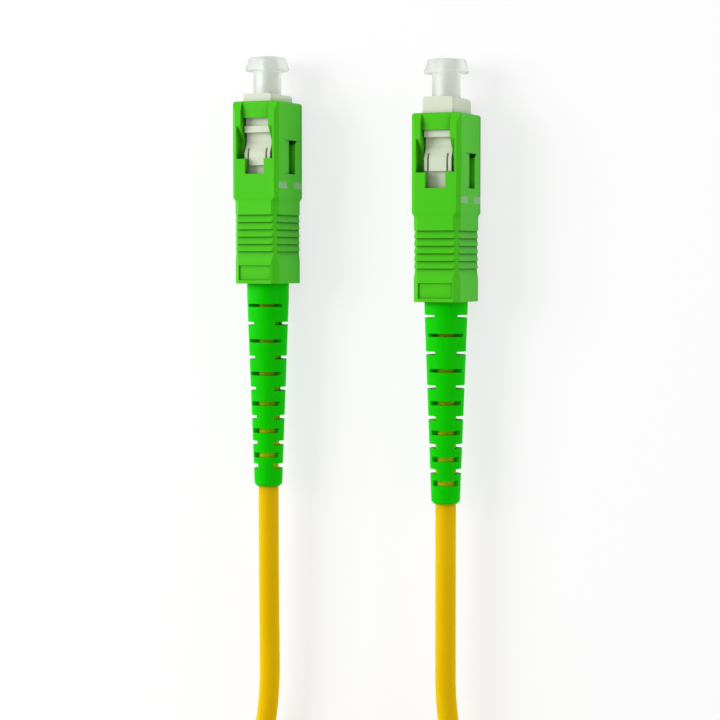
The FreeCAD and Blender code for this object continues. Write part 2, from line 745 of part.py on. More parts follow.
def build_yarn(body):
    """The strength yarn, laid as a sleeve over the barrel."""
    profile = new_sketch(body, "profile", plane="XZ_Plane")
    rectangle(profile, "barrel_diameter / 2 + seat_gap", f"{YARN_OUTER} / 2",
              f"-{BARREL_REAR}", f"-({BARREL_FRONT} + seat_gap)")
    spin(body, "Revolution", profile, "laid")


def build_crimp_ring(body):
    """The stepped ring: wide over the yarn, narrow over the jacket."""
    jacket = "jacket_diameter / 2 + seat_gap"
    profile = new_sketch(body, "profile", plane="XZ_Plane")
    polygon(profile, (
        (f"{CRIMP_BORE} / 2", f"-({BARREL_FRONT} + seat_gap)"),
        (f"{CRIMP_OUTER} / 2", f"-({BARREL_FRONT} + seat_gap)"),
        (f"{CRIMP_OUTER} / 2", f"-{CRIMP_STEP}"),
        (f"{jacket} + crimp_wall", f"-({CRIMP_STEP} + crimp_step)"),
        (f"{jacket} + crimp_wall", f"-{CRIMP_REAR}"),
        (jacket, f"-{CRIMP_REAR}"),
        (jacket, f"-({CRIMP_STEP} + crimp_step)"),
        ("fibre_diameter / 2 + slide_gap", f"-({CRIMP_STEP} + crimp_step)"),
        ("fibre_diameter / 2 + slide_gap", f"-{CRIMP_STEP}"),
        (f"{CRIMP_BORE} / 2", f"-{CRIMP_STEP}"),
    ))
    spin(body, "Revolution", profile, "drawn")


def build_fibre(body):
    """The buffered fibre from the ferrule back to the crimp, with room to push back."""
    front = new_sketch(body, "section",
                       offset="-(ferrule_length - ferrule_reach + 2 * seat_gap)")
    circle(front, "fibre_diameter")
    extrude(body, "Pad", front, "length",
            f"{JACKET_FRONT} - push_back - slide_gap"
            " - ferrule_length + ferrule_reach - 2 * seat_gap")


def build_boot(body):
    """The bend relief: a tapered tube with cross slots that turn a quarter each time."""
    bore = "jacket_diameter / 2 + boot_fit"
    socket = f"{CRIMP_OUTER} / 2 + boot_fit"
    profile = new_sketch(body, "profile", plane="XZ_Plane")
    polygon(profile, (
        (socket, f"-{BOOT_START}"),
        ("boot_neck_diameter / 2", f"-{BOOT_START}"),
        ("boot_neck_diameter / 2", f"-{SHOULDER}"),
        ("boot_shoulder_diameter / 2", f"-{SHOULDER}"),
        ("boot_shoulder_diameter / 2", f"-({SHOULDER} + boot_shoulder_length)"),
        ("boot_end_diameter / 2", f"-({BOOT_END} - boot_end_round)"),
        ("boot_end_diameter / 2 - boot_end_round", f"-{BOOT_END}"),
        (bore, f"-{BOOT_END}"),
        (bore, f"-({CRIMP_REAR} + 2 * boot_cone)"),
        (socket, f"-({CRIMP_REAR} + boot_cone)"),
    ))
    spin(body, "Revolution", profile, "moulded")

    # The slots come in facing pairs, and odd pairs are turned by a quarter
    for turn, plane in enumerate(("YZ_Plane", "XZ_Plane")):
        cuts = new_sketch(body, f"slot_sections_{turn}", plane=plane)
        for level in range(turn, int(value("bend_slot_count")), 2):
            centre = (f"-({BOOT_END} - bend_slot_first - {level} * bend_slot_pitch"
                      f" - {level * level} * bend_slot_growth)")
            half = f"(bend_slot_height / 2 - {level} * bend_slot_narrowing / 2)"
            rectangle(cuts, "jacket_diameter / 2", "boot_shoulder_diameter",
                      f"{centre} - {half}", f"{centre} + {half}")
        first = spin(body, "Groove", cuts, f"slots_{turn}", angle="bend_slot_angle")
        repeat_round(body, [first], f"slot_pairs_{turn}", 2)


def build_dust_cap(body):
    """The push-on cap: a stem over the ferrule and a wide domed head."""
    head_foot = f"{CAP_TOP} - cap_head_length"
    bore = "ferrule_diameter / 2 + cap_grip_gap"
    profile = new_sketch(body, "profile", plane="XZ_Plane")
    polygon(profile, (
        ("0", "ferrule_reach + cap_tip_gap"),
        (bore, "ferrule_reach + cap_tip_gap"),
        (bore, "-(cap_insert - cap_mouth)"),
        (f"{bore} + cap_mouth", "-cap_insert"),
        ("cap_stem_diameter / 2", "-cap_insert"),
        ("cap_stem_diameter / 2", head_foot),
        ("cap_head_diameter / 2 - cap_rim / 2", head_foot),
        ("cap_head_diameter / 2", f"{head_foot} + cap_rim"),
        ("cap_crown_diameter / 2", f"{CAP_TOP} - cap_dome"),
        ("cap_crown_diameter / 4", CAP_TOP),
        ("0", CAP_TOP),
    ))
    spin(body, "Revolution", profile, "moulded")


def coil_point(step, steps):
    """Return a point of the coil: two layers of twelve-sided turns, in and out."""
    angle = math.radians(165 + 30 * step)
    inward = value("coil_turn_pitch") / 12
    from_end = min(step, steps - step)
    radius = value("coil_outer_radius") / math.cos(math.radians(15)) - inward * from_end
    lower = value("jacket_diameter") / 2
    climb = min(max((step - steps / 2 + 3) / 6, 0), 1)
    return FreeCAD.Vector(radius * math.cos(angle),
                          value("coil_centre_y") + radius * math.sin(angle),
                          lower + climb * value("coil_layer_height"))


def cord_routes():
    """Return the points of both free stretches and of the coil between them."""
    steps = 79
    coil = [coil_point(step, steps) for step in range(steps + 1)]
    height = value("sleeve_height / 2")
    stretches = []
    for end, sinks in (("a", (0.0, 0.4, 1.9)), ("b", (0.0, 0.1, 0.1))):
        side = SIDES[end]
        x = value(plug_x(side))
        start = value(f"{plug_y(side)} - {JACKET_FRONT}")
        exit_y = value(f"{plug_y(side)} - {BOOT_END}")
        stretches.append([
            FreeCAD.Vector(x, start, height),
            FreeCAD.Vector(x, exit_y - value("boot_exit_run"), height - sinks[0]),
            FreeCAD.Vector(x, -61.5, height - sinks[1]),
            FreeCAD.Vector(x + side * 3.0, -74.5, height - sinks[2]),
        ])
    return stretches[0], coil, stretches[1]


def tube(points, diameter):
    """Return a round tube along straight runs joined by the widest tangent arcs.

    The last point only aims the last run, which ends halfway to it.
    """
    edges = []
    radii = []
    at = points[0]
    for before, corner, after in zip(points, points[1:], points[2:]):
        arriving = (corner - before).normalize()
        leaving = (after - corner).normalize()
        turn = arriving.getAngle(leaving)
        shorter = min((corner - before).Length, (after - corner).Length)
        setback = 0.45 * shorter
        radii.append(setback / math.tan(turn / 2))
        start = corner - arriving * setback
        finish = corner + leaving * setback
        towards = (leaving - arriving).normalize()
        centre_gap = radii[-1] / math.cos(turn / 2)
        middle = corner + towards * (centre_gap - radii[-1])
        edges.append(Part.LineSegment(at, start).toShape())
        edges.append(Part.Arc(start, middle, finish).toShape())
        at = finish
    finish = (points[-2] + points[-1]) * 0.5
    edges.append(Part.LineSegment(at, finish).toShape())
    path = Part.Wire(edges)
    first_way = (points[1] - points[0]).normalize()
    section = Part.Wire([Part.Circle(points[0], first_way, diameter / 2).toShape()])
    solid = path.makePipeShell([section], True, False)
    expected = math.pi * diameter ** 2 / 4 * path.Length
    print(f"length {path.Length:.1f}, volume {solid.Volume / expected:.4f} of section x length,"
          f" radii {[round(radius, 1) for radius in radii]}")
    return solid


def build_cord():
    """The jacketed cord: a stretch from each boot and the coil's outer shape."""
    run_a, coil, run_b = cord_routes()
    diameter = value("jacket_diameter")
    parts = []
    joins = (("cable_run_a", run_a, coil[:2]), ("cable_run_b", run_b, coil[::-1][:2]))
    for name, run, turn in joins:
        stretch = DOC.addObject("Part::Feature", name)
        stretch.Shape = tube(run + turn, diameter)
        stretch.Label = name
        stretch.Placement = FreeCAD.Placement()
        parts.append(stretch)

    rim = DOC.addObject("Part::Cylinder", "coil_rim")
    rim.setExpression("Radius", bound("coil_outer_radius + jacket_diameter / 2 + seat_gap"))
    eye = DOC.addObject("Part::Cylinder", "coil_eye")
    eye.setExpression("Radius", bound(
        "coil_outer_radius - 79 / 24 * coil_turn_pitch - jacket_diameter / 2 - seat_gap"))
    for cylinder in (rim, eye):
        cylinder.setExpression("Height", bound("jacket_diameter + coil_layer_height"))
    ring = DOC.addObject("Part::Cut", "cable_coil")
    ring.Base = rim
    ring.Tool = eye
    ring.Label = "cable_coil"
    ring.setExpression("Placement.Base.y", bound("coil_centre_y"))
    parts.append(ring)
    return parts


def same_piece(original, name):
    """Return a second body with the shape of the first."""
    twin = new_body(name)
    moulding = twin.newObject("PartDesign::FeatureBase", f"{name}_moulding")
    moulding.BaseFeature = original
    twin.Tip = moulding
    return twin


PLUG_PIECES = {
    "dust_cap": build_dust_cap,
    "coupling_sleeve": build_sleeve,
    "plug_frame": build_plug_frame,
    "ferrule": build_ferrule,
    "ferrule_flange": build_collar,
    "spring": build_spring,
    "stop_ring": build_stop_ring,
    "aramid_yarn": build_yarn,
    "crimp_ring": build_crimp_ring,
    "buffered_fibre": build_fibre,
    "boot": build_boot,
}


def build():
    """Build every piece of both plugs and the cord."""
    fill_sheet()
    parts = []
    for name, builder in PLUG_PIECES.items():
        original = new_body(f"{name}_a")
        builder(original)
        twin = same_piece(original, f"{name}_b")
        place(original, SIDES["a"])
        place(twin, SIDES["b"])
        parts += [original, twin]
    parts += build_cord()
    DOC.recompute()
    return parts


def check(parts):
    """Stop if anything failed to build."""
    for item in DOC.Objects:
        if "Invalid" in item.State or "Error" in item.State:
            raise RuntimeError(f"{item.Label} failed: {item.State}")
    for part in parts:
        if part.Shape.isNull() or not part.Shape.isValid():
            raise RuntimeError(f"{part.Label} has no valid shape")
        if len(part.Shape.Solids) != 1:
            raise RuntimeError(f"{part.Label} has {len(part.Shape.Solids)} solids")


def main():
    """Build, check and write the parts."""
    parts = build()
    check(parts)
    os.makedirs("parts", exist_ok=True)
    for part in parts:
        part.Shape.exportStep(f"parts/{part.Label}.step")
        print(f"{part.Label}: {part.Shape.Volume:.2f} mm3")


main()
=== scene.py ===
"""Looks of a simplex fibre optic patch cord that lies capped on a pale floor.

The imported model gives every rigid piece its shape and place. This script runs the real
cord between the two boots, inlays the alignment marks, turns the caps, winds the springs,
and gives each piece its finish. Lengths are metres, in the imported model's own frame: Y
runs along the plugs towards the tips, X from plug a to plug b, Z up.
"""

from __future__ import annotations

import logging
import math
from dataclasses import dataclass
from enum import Enum
from typing import Iterable, Sequence

import bmesh
import bpy
from mathutils import Matrix, Vector

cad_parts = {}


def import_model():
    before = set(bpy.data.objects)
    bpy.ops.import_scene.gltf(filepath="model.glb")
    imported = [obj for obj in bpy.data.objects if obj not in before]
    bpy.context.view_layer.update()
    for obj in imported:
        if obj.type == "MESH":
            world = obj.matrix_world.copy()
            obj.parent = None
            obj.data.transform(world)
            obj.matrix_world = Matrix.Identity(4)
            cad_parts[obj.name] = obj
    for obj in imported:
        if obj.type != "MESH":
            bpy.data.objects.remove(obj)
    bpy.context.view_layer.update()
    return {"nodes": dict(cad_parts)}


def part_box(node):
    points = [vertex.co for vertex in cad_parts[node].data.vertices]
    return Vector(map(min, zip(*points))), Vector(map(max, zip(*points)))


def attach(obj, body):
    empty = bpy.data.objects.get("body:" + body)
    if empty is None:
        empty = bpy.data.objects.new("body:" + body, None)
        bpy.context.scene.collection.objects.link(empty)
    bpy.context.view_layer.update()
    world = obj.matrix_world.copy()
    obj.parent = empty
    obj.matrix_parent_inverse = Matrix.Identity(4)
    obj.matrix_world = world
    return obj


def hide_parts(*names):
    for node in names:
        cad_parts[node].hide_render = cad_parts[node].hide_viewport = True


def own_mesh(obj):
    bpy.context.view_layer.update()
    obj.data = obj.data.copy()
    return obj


LOG = logging.getLogger("patch_cord")
MM = 0.001

Colour = tuple[float, float, float]
Socket = bpy.types.NodeSocket


class End(Enum):
    """The two ends of the cord."""

    A = "a"
    B = "b"

    def node(self, piece: str) -> str:
        """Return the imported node's name of a piece at this end."""
        return f"{piece}_{self.value}"


class Slot(Enum):
    """The material slots of the record."""

    CAP = "cap_plastic"
    SLEEVE = "sleeve_plastic"
    FRAME = "frame_plastic"
    CERAMIC = "ferrule_ceramic"
    PLATED = "plated_metal"
    SPRING = "spring_steel"
    YARN = "yarn"
    BUFFER = "buffer_plastic"
    BOOT = "boot_rubber"
    JACKET = "jacket"


class NodeSheet:
    """A node tree with short ways to add and join nodes."""

    def __init__(self, tree: bpy.types.NodeTree) -> None:
        """Take an empty tree.

        Args:
            tree: The node tree to fill.
        """
        self.tree = tree

    def add(self, kind: str, **settings: object) -> bpy.types.Node:
        """Add a node.

        Args:
            kind: The node's type name.
            **settings: Properties of the node and their values.

        Returns:
            The new node.
        """
        node = self.tree.nodes.new(kind)
        for name, value in settings.items():
            setattr(node, name, value)
        return node

    def join(self, source: Socket, target: Socket) -> None:
        """Link one socket to another."""
        self.tree.links.new(source, target)

    def math(self, operation: str, first: Socket | float, second: Socket | float = 0.0,
             clamp: bool = False) -> Socket:
        """Add a math node.

        Args:
            operation: The operation's name.
            first: First number or socket.
            second: Second number or socket.
            clamp: Whether the result stays between 0 and 1.

        Returns:
            The socket of the result.
        """
        node = self.add("ShaderNodeMath", operation=operation, use_clamp=clamp)
        for socket, value in zip(node.inputs, (first, second)):
            if isinstance(value, bpy.types.NodeSocket):
                self.join(value, socket)
            else:
                socket.default_value = value
        return node.outputs[0]

    def noise(self, where: Socket, scale: Socket | float, detail: float,
              roughness: float = 0.5) -> Socket:
        """Add a noise texture and return its factor.

        Args:
            where: The coordinates.
            scale: Number or socket for the scale.
            detail: Octaves of detail.
            roughness: Weight of the finer octaves.

        Returns:
            The socket of the factor, about 0.5 on average.
        """
        node = self.add("ShaderNodeTexNoise")
        self.join(where, node.inputs["Vector"])
        if isinstance(scale, bpy.types.NodeSocket):
            self.join(scale, node.inputs["Scale"])
        else:
            node.inputs["Scale"].default_value = scale
        node.inputs["Detail"].default_value = detail
        node.inputs["Roughness"].default_value = roughness
        return node.outputs["Fac"]

    def blend(self, first: Colour | Socket, second: Colour | Socket,
              factor: Socket) -> Socket:
        """Mix two colours by a factor that changes over the surface.

        Args:
            first: Colour or socket at factor 0.
            second: Colour or socket at factor 1.
            factor: The socket of the factor.

        Returns:
            The socket of the mixed colour.
        """
        node = self.add("ShaderNodeMix", data_type="RGBA")
        self.join(factor, node.inputs[0])
        for socket, colour in zip(node.inputs[6:8], (first, second)):
            if isinstance(colour, bpy.types.NodeSocket):
                self.join(colour, socket)
            else:
                socket.default_value = (*colour, 1.0)
        return node.outputs[2]


class EffectGroup:
    """A shader node group that several finishes share, built once."""

    name: str = "effect"
    inputs: tuple[tuple[str, float], ...] = ()
    outputs: tuple[tuple[str, str], ...] = ()

    def tree(self) -> bpy.types.ShaderNodeTree:
        """Return the group's tree, and build it on first use."""
        found = bpy.data.node_groups.get(self.name)
        if found is not None:
            return found
        tree = bpy.data.node_groups.new(self.name, "ShaderNodeTree")
        for label, value in self.inputs:
            socket = tree.interface.new_socket(name=label, in_out="INPUT",
                                               socket_type="NodeSocketFloat")
            socket.default_value = value
        for label, kind in self.outputs:
            tree.interface.new_socket(name=label, in_out="OUTPUT", socket_type=kind)
        sheet = NodeSheet(tree)
        self.fill(sheet, sheet.add("NodeGroupInput"), sheet.add("NodeGroupOutput"))
        return tree

    def fill(self, sheet: NodeSheet, source: bpy.types.Node, result: bpy.types.Node) -> None:
        """Build the effect between the group's inputs and outputs.

        Args:
            sheet: The group's tree.
            source: The group input node.
            result: The group output node.
        """
        raise NotImplementedError

    def place(self, sheet: NodeSheet, **values: float) -> bpy.types.Node:
        """Place the group in a material.

        Args:
            sheet: The material's tree.
            **values: The values of the named inputs, with spaces as underscores.

        Returns:
            The group node.
        """
        node = sheet.add("ShaderNodeGroup", node_tree=self.tree())
        for name, value in values.items():
            node.inputs[name.replace("_", " ")].default_value = value
        return node


class MouldSkin(EffectGroup):
    """The skin that a mould leaves: spark-eroded grain and slow drift of the melt."""

    name = "mould_skin"
    inputs = (("Grain size", 0.12 * MM), ("Drift size", 8.0 * MM))
    outputs = (("Tone", "NodeSocketFloat"), ("Sheen patch", "NodeSocketFloat"),
               ("Height", "NodeSocketFloat"))
    flow: tuple[float, float, float] = (1.0, 0.35, 1.0)
    contrast: float = 2.0
    patches_per_drift: float = 2.6

    def fill(self, sheet: NodeSheet, source: bpy.types.Node, result: bpy.types.Node) -> None:
        """Build drift, patches and grain from noise in the piece's own space."""
        where = sheet.add("ShaderNodeTexCoord").outputs["Object"]
        stretch = sheet.add("ShaderNodeMapping")
        stretch.inputs["Scale"].default_value = self.flow
        sheet.join(where, stretch.inputs["Vector"])
        drift_scale = sheet.math("DIVIDE", 1.0, source.outputs["Drift size"])
        drift = sheet.noise(stretch.outputs["Vector"], drift_scale, detail=2.0)
        spread = sheet.math("MULTIPLY", drift, self.contrast)
        sheet.join(sheet.math("SUBTRACT", spread, (self.contrast - 1.0) / 2, clamp=True),
                   result.inputs["Tone"])
        patch_scale = sheet.math("DIVIDE", self.patches_per_drift,
                                 source.outputs["Drift size"])
        sheet.join(sheet.noise(where, patch_scale, detail=3.0, roughness=0.6),
                   result.inputs["Sheen patch"])
        grain_scale = sheet.math("DIVIDE", 1.0, source.outputs["Grain size"])
        sheet.join(sheet.noise(where, grain_scale, detail=3.0, roughness=0.65),
                   result.inputs["Height"])


class SoftEdge(EffectGroup):
    """The small radius on every moulded or deburred edge, as a normal and a mask; the moulded
    finishes paint a highlight on the edges by the mask.
    """

    name = "soft_edge"
    inputs = (("Radius", 0.1 * MM),)
    outputs = (("Normal", "NodeSocketVector"), ("Edge", "NodeSocketFloat"))
    samples: int = 6
    gain: float = 3.0

    def fill(self, sheet: NodeSheet, source: bpy.types.Node, result: bpy.types.Node) -> None:
        """Compare the rounded normal with the flat one."""
        softened = sheet.add("ShaderNodeBevel", samples=self.samples)
        sheet.join(source.outputs["Radius"], softened.inputs["Radius"])
        sheet.join(softened.outputs["Normal"], result.inputs["Normal"])
        flat = sheet.add("ShaderNodeNewGeometry")
        likeness = sheet.add("ShaderNodeVectorMath", operation="DOT_PRODUCT")
        sheet.join(softened.outputs["Normal"], likeness.inputs[0])
        sheet.join(flat.outputs["Normal"], likeness.inputs[1])
        bend = sheet.math("SUBTRACT", 1.0, likeness.outputs["Value"])
        sheet.join(sheet.math("MULTIPLY", bend, self.gain, clamp=True),
                   result.inputs["Edge"])


class PaintedRecessShade(EffectGroup):
    """Painted shade in slots, corners and grooves, as a mask."""

    name = "painted_recess_shade"
    inputs = (("Reach", 0.8 * MM), ("Strength", 1.0))
    outputs = (("Shade", "NodeSocketFloat"),)
    samples: int = 8

    def fill(self, sheet: NodeSheet, source: bpy.types.Node, result: bpy.types.Node) -> None:
        """Turn each spot's openness into a painted shade mask, 1 where it is closed in."""
        openness = sheet.add("ShaderNodeAmbientOcclusion", samples=self.samples)
        sheet.join(source.outputs["Reach"], openness.inputs["Distance"])
        closed = sheet.math("SUBTRACT", 1.0, openness.outputs["AO"])
        sheet.join(sheet.math("MULTIPLY", closed, source.outputs["Strength"], clamp=True),
                   result.inputs["Shade"])


class TurnedRings(EffectGroup):
    """Fine tool marks round a piece that was turned or ground about the plug's axis."""

    name = "turned_rings"
    inputs = (("Ring pitch", 0.06 * MM), ("Wobble", 0.3))
    outputs = (("Height", "NodeSocketFloat"), ("Streak", "NodeSocketFloat"))
    wobble_scale: float = 900.0
    streaks_per_ring: float = 0.31

    def fill(self, sheet: NodeSheet, source: bpy.types.Node, result: bpy.types.Node) -> None:
        """Band the length of the plug, unevenly."""
        where = sheet.add("ShaderNodeTexCoord").outputs["Object"]
        split = sheet.add("ShaderNodeSeparateXYZ")
        sheet.join(where, split.inputs["Vector"])
        along = sheet.math("DIVIDE", split.outputs["Y"], source.outputs["Ring pitch"])
        uneven = sheet.noise(where, self.wobble_scale, detail=2.0)
        shifted = sheet.math("ADD", along, sheet.math("MULTIPLY", uneven,
                                                      source.outputs["Wobble"]))
        band = sheet.math("SINE", sheet.math("MULTIPLY", shifted, 2.0 * math.pi))
        sheet.join(sheet.math("MULTIPLY", sheet.math("ADD", band, 1.0), 0.5),
                   result.inputs["Height"])
        line = sheet.add("ShaderNodeCombineXYZ")
        sheet.join(sheet.math("MULTIPLY", along, self.streaks_per_ring), line.inputs["Y"])
        sheet.join(sheet.noise(line.outputs["Vector"], 1.0, detail=2.0),
                   result.inputs["Streak"])


@dataclass(frozen=True)
class Finish:
    """What every finish has, and how it starts its material."""

    name: str
    slot: Slot
    colour: Colour
    roughness: float = 0.5

    def start(self) -> tuple[bpy.types.Material, NodeSheet, bpy.types.Node]:
        """Start a material with one Principled shader.

        Returns:
            The material, its tree and the shader node.
        """
        material = bpy.data.materials.new(self.name)
        material.use_nodes = True
        sheet = NodeSheet(material.node_tree)
        shader = material.node_tree.nodes["Principled BSDF"]
        shader.inputs["Base Color"].default_value = (*self.colour, 1.0)
        shader.inputs["Roughness"].default_value = self.roughness
        return material, sheet, shader

    def material(self) -> bpy.types.Material:
        """Return the finish's material, and build it on first use."""
        return bpy.data.materials.get(self.name) or self.build()

    def build(self) -> bpy.types.Material:
        """Build the material. Each kind of finish has its own way."""
        return self.start()[0]

    def apply(self, piece: bpy.types.Object) -> None:
        """Give a piece this finish all over.

        Args:
            piece: A mesh or curve object.
        """
        piece.data.materials.clear()
        piece.data.materials.append(self.material())


@dataclass(frozen=True)
class Moulded(Finish):
    """A moulded plastic or rubber: grain, drift of tone, soft edges with a painted highlight,
    and painted shade in recesses.
    """

    deep: Colour = (0.0, 0.0, 0.0)
    # The painted highlight colour on the soft edges.
    edge: Colour = (1.0, 1.0, 1.0)
    edge_radius: float = 0.1 * MM
    grain: float = 0.12 * MM
    grain_depth: float = 0.004 * MM
    drift: float = 8.0 * MM
    patch: float = 0.16
    glow: float = 0.0
    glow_radius: float = 0.6 * MM
    clear: float = 0.0
    gloss: float = 0.5
    # The painted shade colour in recesses, with how far the shade reaches and how strong it
    # is.
    painted_shade: Colour = (0.0, 0.05, 0.0)
    painted_shade_reach: float = 0.9 * MM
    painted_shade_strength: float = 0.0

    def build(self) -> bpy.types.Material:
        """Build the moulded material."""
        material, sheet, shader = self.start()
        skin = MouldSkin().place(sheet, Grain_size=self.grain, Drift_size=self.drift)
        rim = SoftEdge().place(sheet, Radius=self.edge_radius)
        shade = PaintedRecessShade().place(sheet, Reach=self.painted_shade_reach, Strength=self.painted_shade_strength)
        body = sheet.blend(self.colour, self.deep, skin.outputs["Tone"])
        # Painted shade: darken towards the shade colour where the spot is closed in.
        body = sheet.blend(body, self.painted_shade, shade.outputs["Shade"])
        # Painted highlight: blend to the paler edge colour on the soft edges.
        sheet.join(sheet.blend(body, self.edge, rim.outputs["Edge"]),
                   shader.inputs["Base Color"])
        shift = sheet.math("MULTIPLY", skin.outputs["Sheen patch"], self.patch)
        sheet.join(sheet.math("ADD", shift, self.roughness - self.patch / 2, clamp=True),
                   shader.inputs["Roughness"])
        bump = sheet.add("ShaderNodeBump")
        bump.inputs["Distance"].default_value = self.grain_depth
        sheet.join(skin.outputs["Height"], bump.inputs["Height"])
        sheet.join(rim.outputs["Normal"], bump.inputs["Normal"])
        sheet.join(bump.outputs["Normal"], shader.inputs["Normal"])
        shader.inputs["Specular IOR Level"].default_value = self.gloss
        shader.inputs["Subsurface Weight"].default_value = self.glow
        shader.inputs["Subsurface Radius"].default_value = (1.0, 1.0, 1.0)
        shader.inputs["Subsurface Scale"].default_value = self.glow_radius
        shader.inputs["Transmission Weight"].default_value = self.clear
        return material


@dataclass(frozen=True)
class Turned(Finish):
    """A turned, drawn or ground piece with fine rings about the plug's axis."""

    metal: float = 1.0
    shade: Colour = (0.3, 0.3, 0.3)
    pitch: float = 0.06 * MM
    depth: float = 0.002 * MM
    wobble: float = 0.3
    streak: float = 0.2
    edge_radius: float = 0.06 * MM

    def build(self) -> bpy.types.Material:
        """Build the turned material."""
        material, sheet, shader = self.start()
        rings = TurnedRings().place(sheet, Ring_pitch=self.pitch, Wobble=self.wobble)
        rim = SoftEdge().place(sheet, Radius=self.edge_radius)
        sheet.join(sheet.blend(self.colour, self.shade, rings.outputs["Streak"]),
                   shader.inputs["Base Color"])
        shift = sheet.math("MULTIPLY", rings.outputs["Streak"], self.streak)
        sheet.join(sheet.math("ADD", shift, self.roughness - self.streak / 2, clamp=True),
                   shader.inputs["Roughness"])
        bump = sheet.add("ShaderNodeBump")
        bump.inputs["Distance"].default_value = self.depth
        sheet.join(rings.outputs["Height"], bump.inputs["Height"])
        sheet.join(rim.outputs["Normal"], bump.inputs["Normal"])
        sheet.join(bump.outputs["Normal"], shader.inputs["Normal"])
        shader.inputs["Metallic"].default_value = self.metal
        return material


@dataclass(frozen=True)
class Yarn(Finish):
    """Straight strength yarn: fine filaments that run along the plug."""

    shade: Colour = (0.45, 0.3, 0.05)
    filament: float = 0.05 * MM
    run: tuple[float, float, float] = (1.0, 0.03, 1.0)
    sheen: float = 0.4

    def build(self) -> bpy.types.Material:
        """Build the yarn material."""
        material, sheet, shader = self.start()
        where = sheet.add("ShaderNodeTexCoord").outputs["Object"]
        stretch = sheet.add("ShaderNodeMapping")
        stretch.inputs["Scale"].default_value = self.run
        sheet.join(where, stretch.inputs["Vector"])
        strands = sheet.noise(stretch.outputs["Vector"], 1.0 / self.filament, detail=2.0)
        sheet.join(sheet.blend(self.colour, self.shade, strands), shader.inputs["Base Color"])
        bump = sheet.add("ShaderNodeBump")
        bump.inputs["Distance"].default_value = self.filament
        sheet.join(strands, bump.inputs["Height"])
        sheet.join(bump.outputs["Normal"], shader.inputs["Normal"])
        shader.inputs["Sheen Weight"].default_value = self.sheen
        return material


@dataclass(frozen=True)
class Jacket(Finish):
    """The extruded jacket: faint lines along the cord, slow mottling, and painted shade where
    it is closed in, tinted with painted green bounce light inside the boot.
    """

    deep: Colour = (0.0, 0.0, 0.0)
    # Painted shade colours: brown where the jacket is closed in, and green inside the boot as
    # painted bounce light from it; with the shade's reach and strength.
    painted_shade: Colour = (0.24, 0.16, 0.0)
    painted_boot_bounce_shade: Colour = (0.3, 0.62, 0.0)
    boot_end: float = -30.5 * MM
    painted_shade_reach: float = 1.2 * MM
    painted_shade_strength: float = 1.1
    mottle: float = 5.0 * MM
    grain: float = 0.1 * MM
    grain_share: float = 0.4
    patch: float = 0.2
    lines: tuple[float, float, float] = (2.0, 60.0, 1.0)
    line_depth: float = 0.006 * MM
    gloss: float = 0.04
    glow: float = 0.9
    glow_radius: float = 2.6 * MM
    glow_spread: Colour = (1.0, 0.8, 0.1)

    def build(self) -> bpy.types.Material:
        """Build the jacket material."""
        material, sheet, shader = self.start()
        skin = MouldSkin().place(sheet, Grain_size=self.grain, Drift_size=self.mottle)
        shade = PaintedRecessShade().place(sheet, Reach=self.painted_shade_reach,
                                    Strength=self.painted_shade_strength)
        place = sheet.add("ShaderNodeSeparateXYZ")
        sheet.join(sheet.add("ShaderNodeTexCoord").outputs["Object"], place.inputs["Vector"])
        in_boot = sheet.math("GREATER_THAN", place.outputs["Y"], self.boot_end)
        # Painted shade: brown in the open, painted green bounce light inside the boot.
        painted_shade_colour = sheet.blend(self.painted_shade, self.painted_boot_bounce_shade, in_boot)
        body = sheet.blend(self.colour, self.deep, skin.outputs["Tone"])
        sheet.join(sheet.blend(body, painted_shade_colour, shade.outputs["Shade"]),
                   shader.inputs["Base Color"])
        shift = sheet.math("MULTIPLY", skin.outputs["Sheen patch"], self.patch)
        sheet.join(sheet.math("ADD", shift, self.roughness - self.patch / 2, clamp=True),
                   shader.inputs["Roughness"])
        path = sheet.add("ShaderNodeTexCoord").outputs["UV"]
        lines = sheet.add("ShaderNodeMapping")
        lines.inputs["Scale"].default_value = self.lines
        sheet.join(path, lines.inputs["Vector"])
        drawn = sheet.noise(lines.outputs["Vector"], 1.0, detail=2.0)
        grain = sheet.math("MULTIPLY", skin.outputs["Height"], self.grain_share)
        height = sheet.math("ADD", drawn, grain)
        bump = sheet.add("ShaderNodeBump")
        bump.inputs["Distance"].default_value = self.line_depth
        sheet.join(height, bump.inputs["Height"])
        sheet.join(bump.outputs["Normal"], shader.inputs["Normal"])
        shader.inputs["Specular IOR Level"].default_value = self.gloss
        shader.inputs["Subsurface Weight"].default_value = self.glow
        shader.inputs["Subsurface Radius"].default_value = self.glow_spread
        shader.inputs["Subsurface Scale"].default_value = self.glow_radius
        return material


# In the moulded finishes below, the edge colour is a painted highlight on the soft edges, and
# the recess colour with its reach and strength is painted shade.
SLEEVE_GREEN = Moulded("sleeve_green", Slot.SLEEVE, (0.07, 0.58, 0.006), 0.42,
                       deep=(0.058, 0.54, 0.004), edge=(0.13, 0.66, 0.015),
                       edge_radius=0.1 * MM, gloss=0.11, painted_shade_reach=1.5 * MM,
                       painted_shade_strength=1.2)
BOOT_GREEN = Moulded("boot_green", Slot.BOOT, (0.005, 0.6, 0.0), 0.46,
                     deep=(0.003, 0.55, 0.0), edge=(0.015, 0.66, 0.0),
                     edge_radius=0.12 * MM, drift=5.0 * MM, glow=0.35, gloss=0.03,
                     glow_radius=1.2 * MM, painted_shade=(0.0, 0.3, 0.0), painted_shade_strength=0.8)
FRAME_IVORY = Moulded("frame_ivory", Slot.FRAME, (0.71, 0.76, 0.61), 0.4,
                      deep=(0.68, 0.73, 0.57), edge=(0.8, 0.84, 0.72),
                      edge_radius=0.08 * MM, glow=0.25, glow_radius=0.5 * MM, gloss=0.3,
                      painted_shade=(0.3, 0.36, 0.22), painted_shade_strength=0.5)
